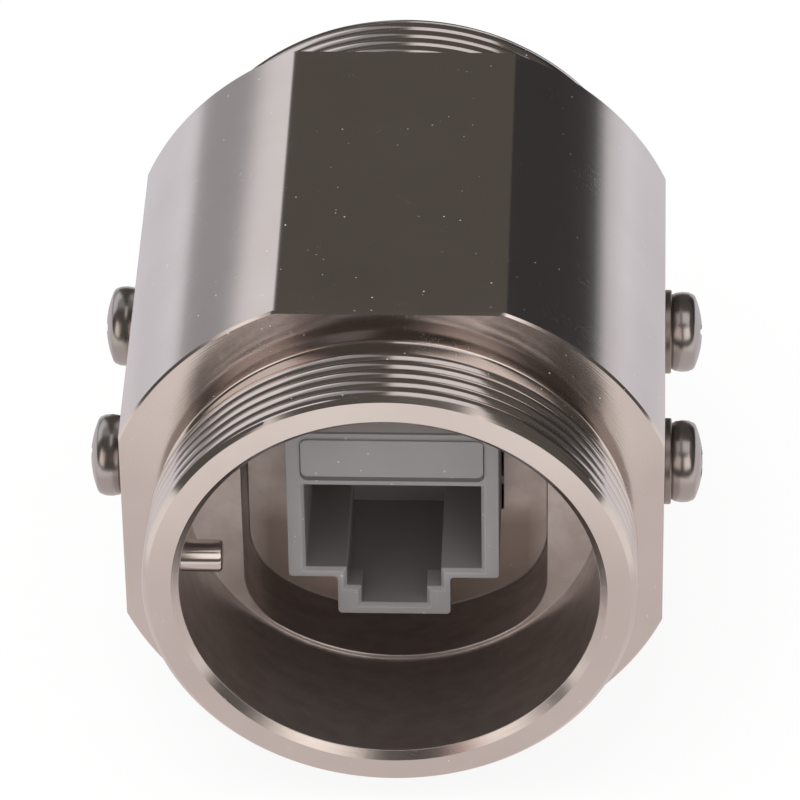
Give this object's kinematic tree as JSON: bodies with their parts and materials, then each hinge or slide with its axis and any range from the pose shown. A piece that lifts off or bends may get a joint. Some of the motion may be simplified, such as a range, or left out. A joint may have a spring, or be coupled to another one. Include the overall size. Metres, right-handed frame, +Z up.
{
  "type": "rj45 inline coupler",
  "caption": "Round plated barrel with side flats and a threaded spigot at each end, holding a moulded coupler that joins two network plugs end to end.",
  "frame": {"origin": "the middle of the barrel, on its axis", "axes": "+Y along the barrel from the front jack to the rear one, +Z up with both latches downwards, +X to the right seen from the front"},
  "size_m": [0.0412, 0.0436, 0.036],
  "materials": {
    "plated_brass": "bright nickel plate on turned brass, with fine marks",
    "plated_pin": "bright nickel plate",
    "plated_screw": "nickel plated steel",
    "spring_steel": "plated spring steel",
    "grey_plastic": "moulded grey plastic, satin",
    "carrier_plastic": "moulded dark plastic",
    "board_laminate": "glass-filled laminate with solder mask",
    "contact_wire": "gold plated spring wire"
  },
  "bodies": {
    "root": {"barrel_body": "plated_brass", "key_pin_front": "plated_pin", "key_pin_rear": "plated_pin", "housing_front": "grey_plastic", "housing_rear": "grey_plastic", "contact_carrier_front": "carrier_plastic", "contact_carrier_rear": "carrier_plastic", "circuit_board": "board_laminate", "contact_front_1": "contact_wire", "contact_front_2": "contact_wire", "contact_front_3": "contact_wire", "contact_front_4": "contact_wire", "contact_front_5": "contact_wire", "contact_front_6": "contact_wire", "contact_front_7": "contact_wire", "contact_front_8": "contact_wire", "contact_rear_1": "contact_wire", "contact_rear_2": "contact_wire", "contact_rear_3": "contact_wire", "contact_rear_4": "contact_wire", "contact_rear_5": "contact_wire", "contact_rear_6": "contact_wire", "contact_rear_7": "contact_wire", "contact_rear_8": "contact_wire", "screw_front_left": "plated_screw", "lock_washer_front_left": "spring_steel", "screw_front_right": "plated_screw", "lock_washer_front_right": "spring_steel", "screw_rear_left": "plated_screw", "lock_washer_rear_left": "spring_steel", "screw_rear_right": "plated_screw", "lock_washer_rear_right": "spring_steel"}
  },
  "joints": []
}
